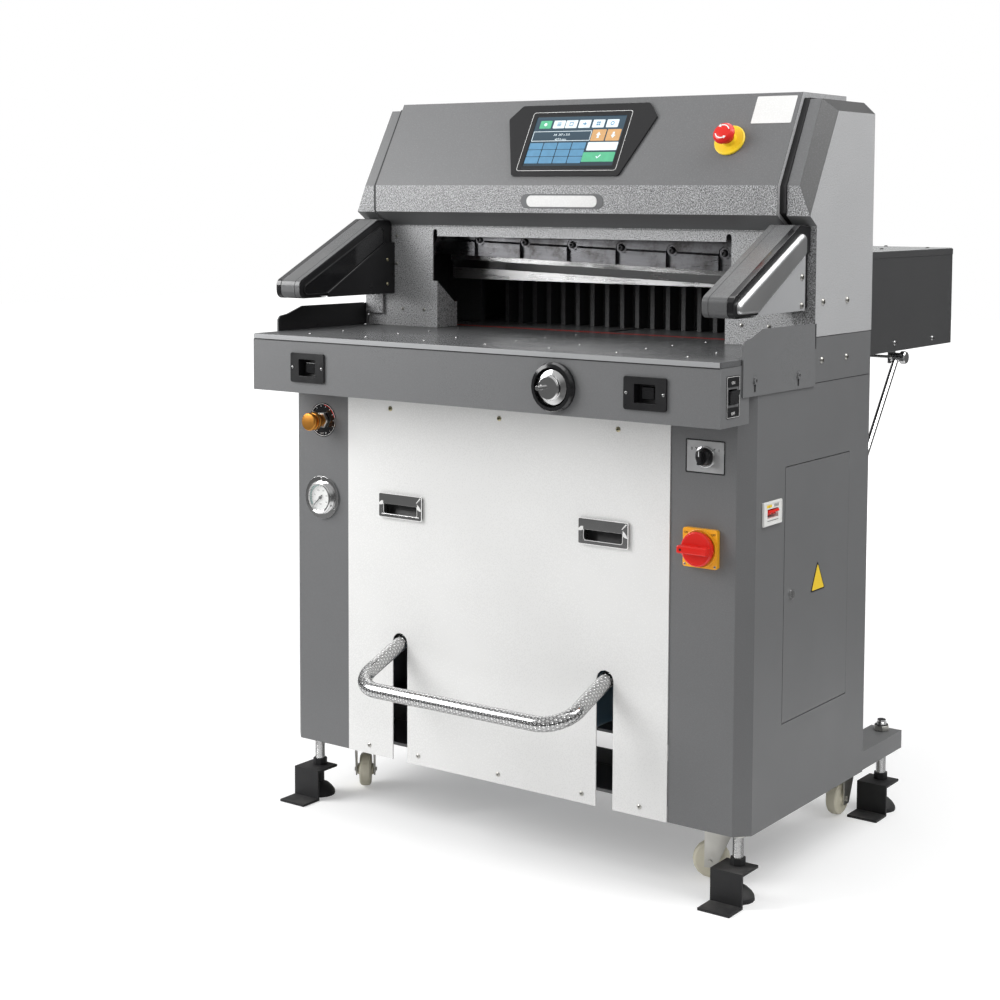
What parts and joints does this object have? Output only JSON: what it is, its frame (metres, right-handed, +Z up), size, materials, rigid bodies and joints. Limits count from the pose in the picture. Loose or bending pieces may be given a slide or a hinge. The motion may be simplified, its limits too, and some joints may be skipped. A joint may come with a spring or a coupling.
{
  "type": "electric hydraulic paper cutter",
  "caption": "Floor-standing hydraulic guillotine for paper stacks, with a clamp, an inclined knife, a back gauge, a touch screen hood and a treadle.",
  "frame": {"origin": "on the floor, at the centre of the bounding box", "axes": "+X to the right seen from the front, +Y to the rear, +Z up"},
  "size_m": [1.0134, 1.1185, 1.3547],
  "materials": {
    "backgauge_comb": "painted",
    "base_frame": "satin",
    "body_face": "satin powder coat",
    "breaker_body": "moulded",
    "breaker_toggle": "gloss",
    "button_bezel_left": "fine grain",
    "button_bezel_right": "fine grain",
    "cabinet_door": "satin powder coat",
    "caster_fork_left": "zinc plated",
    "caster_fork_right": "zinc plated",
    "caster_wheel_left": "moulded nylon",
    "caster_wheel_right": "moulded nylon",
    "clamp_beam": "ground",
    "column_cover_left": "satin powder coat",
    "column_cover_right": "satin powder coat",
    "cut_button_left": "gloss",
    "cut_button_right": "gloss",
    "cutting_stick": "moulded",
    "dial_bowl": "gloss",
    "dial_wheel": "polished",
    "door_lock": "polished",
    "end_cover_left": "satin powder coat",
    "end_cover_right": "satin powder coat",
    "estop_base": "gloss",
    "estop_button": "gloss",
    "foot_front_left": "moulded",
    "foot_front_right": "moulded",
    "foot_rear_left": "moulded",
    "foot_rear_right": "moulded",
    "front_panel": "satin powder coat",
    "front_table": "satin",
    "gauge_case": "polished",
    "gauge_needle": "fine grain",
    "guard_arm_left": "satin",
    "guard_arm_right": "satin",
    "hood_cover": "satin powder coat",
    "hydraulic_pack": "satin",
    "knife_blade": "ground",
    "knife_carrier": "oiled dark",
    "knife_pull_rod": "ground",
    "lead_screw": "ground",
    "main_switch_handle": "gloss",
    "main_switch_plate": "gloss",
    "panel_handle_left": "polished",
    "panel_handle_right": "polished",
    "pressure_knob": "orange anodised",
    "rear_box": "satin",
    "rear_caster_forks": "zinc plated",
    "rear_panel": "satin powder coat",
    "rear_struts": "polished",
    "rear_table": "satin",
    "rear_wheel_left": "moulded nylon",
    "rear_wheel_right": "moulded nylon",
    "rocker": "gloss",
    "screen_bezel": "gloss",
    "selector_knob": "fine grain",
    "side_frames": "painted",
    "table_apron": "satin powder coat",
    "touch_screen": "glass clear",
    "treadle_bar": "polished"
  },
  "bodies": {
    "root": {"base_frame": "base_frame", "body_face": "body_face", "breaker_body": "breaker_body", "button_bezel_left": "button_bezel_left", "button_bezel_right": "button_bezel_right", "column_cover_left": "column_cover_left", "column_cover_right": "column_cover_right", "cutting_stick": "cutting_stick", "dial_bowl": "dial_bowl", "end_cover_left": "end_cover_left", "end_cover_right": "end_cover_right", "estop_base": "estop_base", "foot_front_left": "foot_front_left", "foot_front_right": "foot_front_right", "foot_rear_left": "foot_rear_left", "foot_rear_right": "foot_rear_right", "front_panel": "front_panel", "front_table": "front_table", "gauge_case": "gauge_case", "guard_arm_left": "guard_arm_left", "guard_arm_right": "guard_arm_right", "hood_cover": "hood_cover", "hydraulic_pack": "hydraulic_pack", "main_switch_plate": "main_switch_plate", "panel_handle_left": "panel_handle_left", "panel_handle_right": "panel_handle_right", "rear_box": "rear_box", "rear_caster_forks": "rear_caster_forks", "rear_panel": "rear_panel", "rear_struts": "rear_struts", "rear_table": "rear_table", "screen_bezel": "screen_bezel", "side_frames": "side_frames", "table_apron": "table_apron", "touch_screen": "touch_screen"},
    "treadle": {"treadle_bar": "treadle_bar"},
    "clamp": {"clamp_beam": "clamp_beam"},
    "knife_rod": {"knife_pull_rod": "knife_pull_rod"},
    "knife": {"knife_carrier": "knife_carrier", "knife_blade": "knife_blade"},
    "backgauge": {"backgauge_comb": "backgauge_comb"},
    "screw": {"lead_screw": "lead_screw"},
    "cut_left": {"cut_button_left": "cut_button_left"},
    "cut_right": {"cut_button_right": "cut_button_right"},
    "estop": {"estop_button": "estop_button"},
    "dial": {"dial_wheel": "dial_wheel"},
    "rocker_switch": {"rocker": "rocker"},
    "pressure": {"pressure_knob": "pressure_knob"},
    "needle": {"gauge_needle": "gauge_needle"},
    "selector": {"selector_knob": "selector_knob"},
    "main_switch": {"main_switch_handle": "main_switch_handle"},
    "breaker": {"breaker_toggle": "breaker_toggle"},
    "door": {"cabinet_door": "cabinet_door"},
    "lock": {"door_lock": "door_lock"},
    "swivel_left": {"caster_fork_left": "caster_fork_left"},
    "swivel_right": {"caster_fork_right": "caster_fork_right"},
    "wheel_front_left": {"caster_wheel_left": "caster_wheel_left"},
    "wheel_front_right": {"caster_wheel_right": "caster_wheel_right"},
    "wheel_rear_left": {"rear_wheel_left": "rear_wheel_left"},
    "wheel_rear_right": {"rear_wheel_right": "rear_wheel_right"}
  },
  "joints": [
    {"name": "treadle_press", "type": "hinge", "parent": "root", "child": "treadle", "pos_m": [0, -0.2805, 0.392], "axis": [1, 0, 0], "range_deg": [0, 12], "stiffness_Nm_per_rad": 40, "springref_deg": -22.92},
    {"name": "clamp_slide", "type": "slide", "parent": "root", "child": "clamp", "axis": [0, 0, -1], "range_m": [0, 0.0925], "stiffness_N_per_m": 2000, "springref_m": -0.2},
    {"name": "knife_slide", "type": "slide", "parent": "root", "child": "knife_rod", "axis": [-0.5, 0, -0.866], "range_m": [0, 0.134], "stiffness_N_per_m": 1200, "springref_m": -0.3},
    {"name": "knife_level", "type": "hinge", "parent": "knife_rod", "child": "knife", "pos_m": [-0.335, -0.102, 1.15], "axis": [0, -1, 0], "range_deg": [0, 1.62]},
    {"name": "backgauge_slide", "type": "slide", "parent": "root", "child": "backgauge", "axis": [0, 1, 0], "range_m": [-0.09, 0.42]},
    {"name": "screw_turn", "type": "hinge", "parent": "root", "child": "screw", "pos_m": [0, -0.0352, 0.892], "axis": [0, 1, 0], "continuous": true},
    {"name": "cut_left_press", "type": "slide", "parent": "root", "child": "cut_left", "axis": [0, 1, 0], "range_m": [0, 0.005], "stiffness_N_per_m": 600, "springref_m": -0.001},
    {"name": "cut_right_press", "type": "slide", "parent": "root", "child": "cut_right", "axis": [0, 1, 0], "range_m": [0, 0.005], "stiffness_N_per_m": 600, "springref_m": -0.001},
    {"name": "estop_press", "type": "slide", "parent": "root", "child": "estop", "axis": [0, 0.8768, -0.4809], "range_m": [0, 0.004], "stiffness_N_per_m": 800, "springref_m": -0.001},
    {"name": "dial_turn", "type": "hinge", "parent": "root", "child": "dial", "pos_m": [0.185, -0.4948, 0.8557], "axis": [0, 1, 0], "continuous": true},
    {"name": "rocker_tilt", "type": "hinge", "parent": "root", "child": "rocker_switch", "pos_m": [0.4955, -0.471, 0.85665], "axis": [0, -1, 0], "range_deg": [0, 16]},
    {"name": "pressure_turn", "type": "hinge", "parent": "root", "child": "pressure", "pos_m": [-0.4158, -0.4113, 0.747], "axis": [0, 1, 0], "continuous": true},
    {"name": "needle_turn", "type": "hinge", "parent": "root", "child": "needle", "pos_m": [-0.417, -0.4173, 0.5985], "axis": [0, 1, 0], "range_deg": [0, 270], "stiffness_Nm_per_rad": 0.0001},
    {"name": "selector_turn", "type": "hinge", "parent": "root", "child": "selector", "pos_m": [0.4174, -0.4109, 0.7475], "axis": [0, 1, 0], "range_deg": [0, 90]},
    {"name": "main_switch_turn", "type": "hinge", "parent": "root", "child": "main_switch", "pos_m": [0.41405, -0.42, 0.59635], "axis": [0, 1, 0], "range_deg": [0, 90]},
    {"name": "breaker_flip", "type": "hinge", "parent": "root", "child": "breaker", "pos_m": [0.494, -0.3355, 0.653], "axis": [0, 1, 0], "range_deg": [0, 40]},
    {"name": "door_swing", "type": "hinge", "parent": "root", "child": "door", "pos_m": [0.5, -0.0391, 0.5037], "axis": [0, 0, 1], "range_deg": [0, 110]},
    {"name": "lock_turn", "type": "hinge", "parent": "door", "child": "lock", "pos_m": [0.5, -0.2588, 0.5031], "axis": [-1, 0, 0], "range_deg": [0, 90]},
    {"name": "caster_swivel_left", "type": "hinge", "parent": "root", "child": "swivel_left", "pos_m": [-0.405, -0.3025, 0.1197], "axis": [0, 0, 1], "continuous": true},
    {"name": "caster_swivel_right", "type": "hinge", "parent": "root", "child": "swivel_right", "pos_m": [0.405, -0.3025, 0.1197], "axis": [0, 0, 1], "continuous": true},
    {"name": "wheel_spin_front_left", "type": "hinge", "parent": "swivel_left", "child": "wheel_front_left", "pos_m": [-0.42, -0.2825, 0.0355], "axis": [-0.8, -0.6, 0], "continuous": true},
    {"name": "wheel_spin_front_right", "type": "hinge", "parent": "swivel_right", "child": "wheel_front_right", "pos_m": [0.383, -0.3112, 0.0355], "axis": [0.3677, -0.9299, 0], "continuous": true},
    {"name": "wheel_spin_rear_left", "type": "hinge", "parent": "root", "child": "wheel_rear_left", "pos_m": [-0.415, 0.1155, 0.0355], "axis": [1, 0, 0], "continuous": true},
    {"name": "wheel_spin_rear_right", "type": "hinge", "parent": "root", "child": "wheel_rear_right", "pos_m": [0.415, 0.1155, 0.0355], "axis": [1, 0, 0], "continuous": true}
  ],
  "couplings": [
    {"joint": "knife_level", "follows": "knife_slide", "rad_per_m": 0.21138},
    {"joint": "screw_turn", "follows": "backgauge_slide", "rad_per_m": 251.33}
  ]
}
